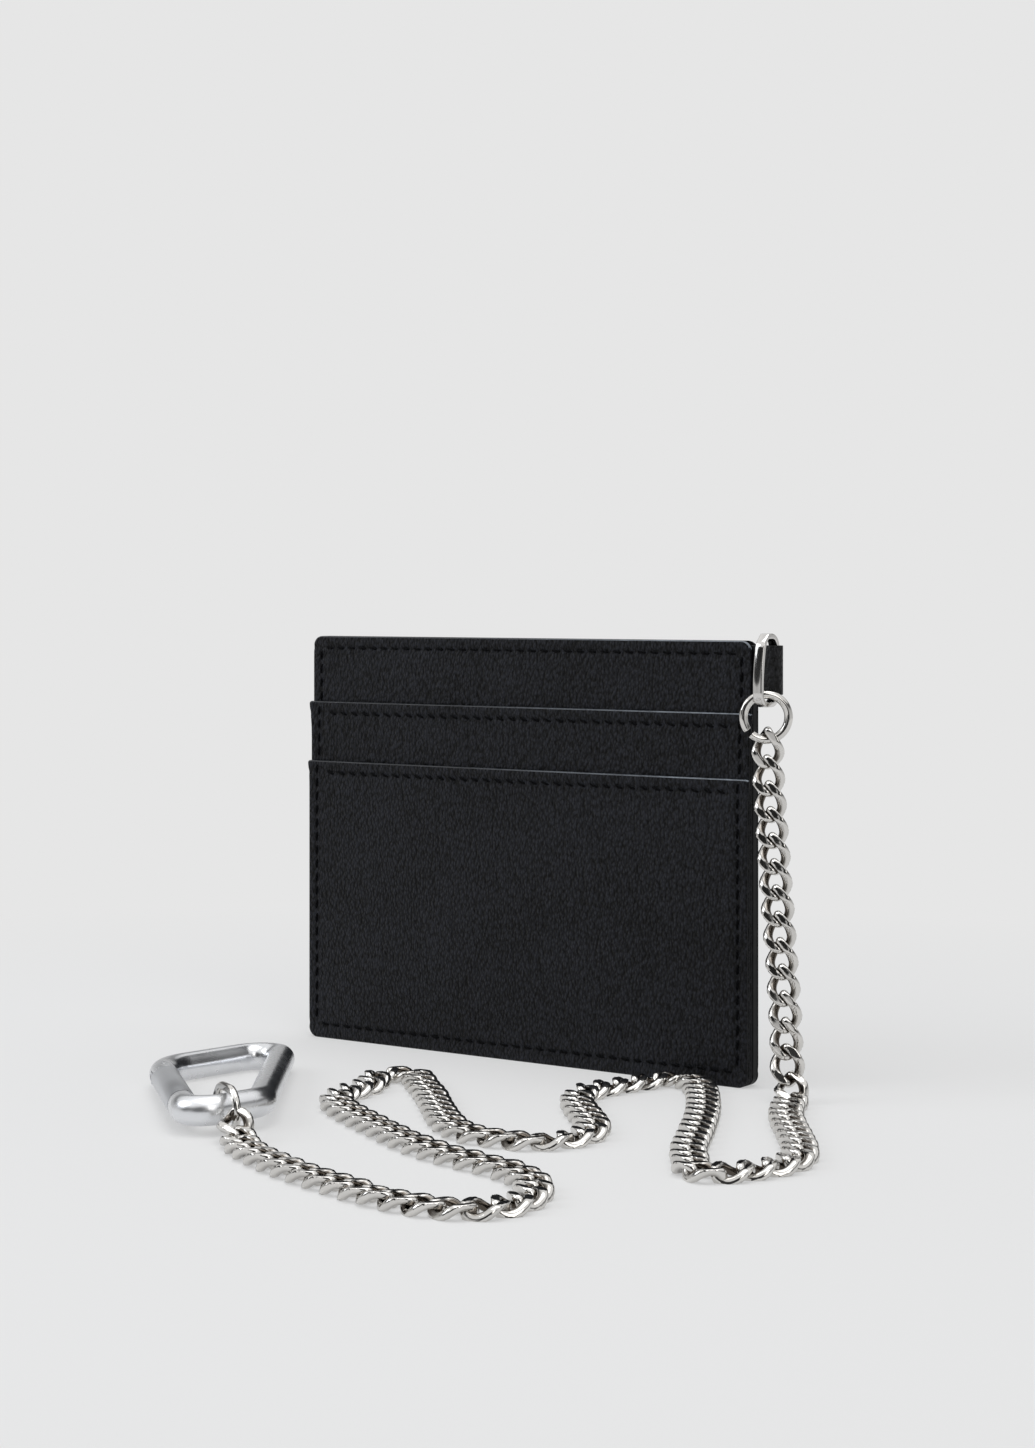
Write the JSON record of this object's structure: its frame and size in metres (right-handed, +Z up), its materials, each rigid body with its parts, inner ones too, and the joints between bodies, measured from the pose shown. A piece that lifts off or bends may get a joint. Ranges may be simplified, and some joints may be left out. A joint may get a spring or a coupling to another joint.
{
  "type": "chain wallet",
  "caption": "Slim leather card wallet with stepped front pockets, a side tab with metal loop and jump ring, and a flat curb chain that ends in a trapezoid snap hook.",
  "frame": {"origin": "middle of the wallet's lower edge, on the middle plane of the open compartment", "axes": "+X along the wallet's width towards the tab, -Y out of the pocket face, +Z up to the open edge"},
  "size_m": [0.1433, 0.1171, 0.0813],
  "materials": {
    "leather_black": "fine pebbled grain, soft sheen, painted edges",
    "lining_black": "plain bonded lining",
    "thread_black": "waxed thread",
    "nickel_satin": "satin nickel plate",
    "nickel_polished": "polished nickel plate",
    "hook_steel": "fine satin over polish"
  },
  "bodies": {
    "wallet": {"back_panel": "leather_black", "back_lining": "lining_black", "front_panel": "leather_black", "front_lining": "lining_black", "upper_pocket": "leather_black", "lower_pocket": "leather_black", "welt": "leather_black", "border_stitching_front": "thread_black", "border_stitching_back": "thread_black", "upper_mouth_stitching": "thread_black", "lower_mouth_stitching": "thread_black", "tab": "leather_black"},
    "loop_and_chain": {"loop": "nickel_satin", "top_link": "nickel_polished", "chain_drop": "nickel_polished", "chain_run": "nickel_polished", "end_link": "nickel_polished"},
    "ring": {"jump_ring": "nickel_polished"},
    "hook": {"carabiner_frame": "hook_steel", "gate_pin": "hook_steel", "gate_spring": "hook_steel"},
    "gate": {"carabiner_gate": "hook_steel"}
  },
  "joints": [
    {"name": "loop_swing", "type": "hinge", "parent": "wallet", "child": "loop_and_chain", "pos_m": [0.0539, 0, 0], "axis": [0, 0, 1], "range_deg": [0, 100]},
    {"name": "ring_spin", "type": "hinge", "parent": "loop_and_chain", "child": "ring", "pos_m": [0.0539, -0.0029, 0.06653], "axis": [0.5592, -0.829, 0], "continuous": true},
    {"name": "hook_lift", "type": "hinge", "parent": "loop_and_chain", "child": "hook", "pos_m": [-0.00236, -0.08346, 0.00401], "axis": [0.2077, 0.9782, 0], "range_deg": [0, 100]},
    {"name": "gate_swing", "type": "hinge", "parent": "hook", "child": "gate", "pos_m": [-0.03351, -0.0639, 0.00276], "axis": [-0.0353, 0.0075, 0.9994], "range_deg": [0, 15], "stiffness_Nm_per_rad": 0.06, "springref_deg": -20.05}
  ]
}
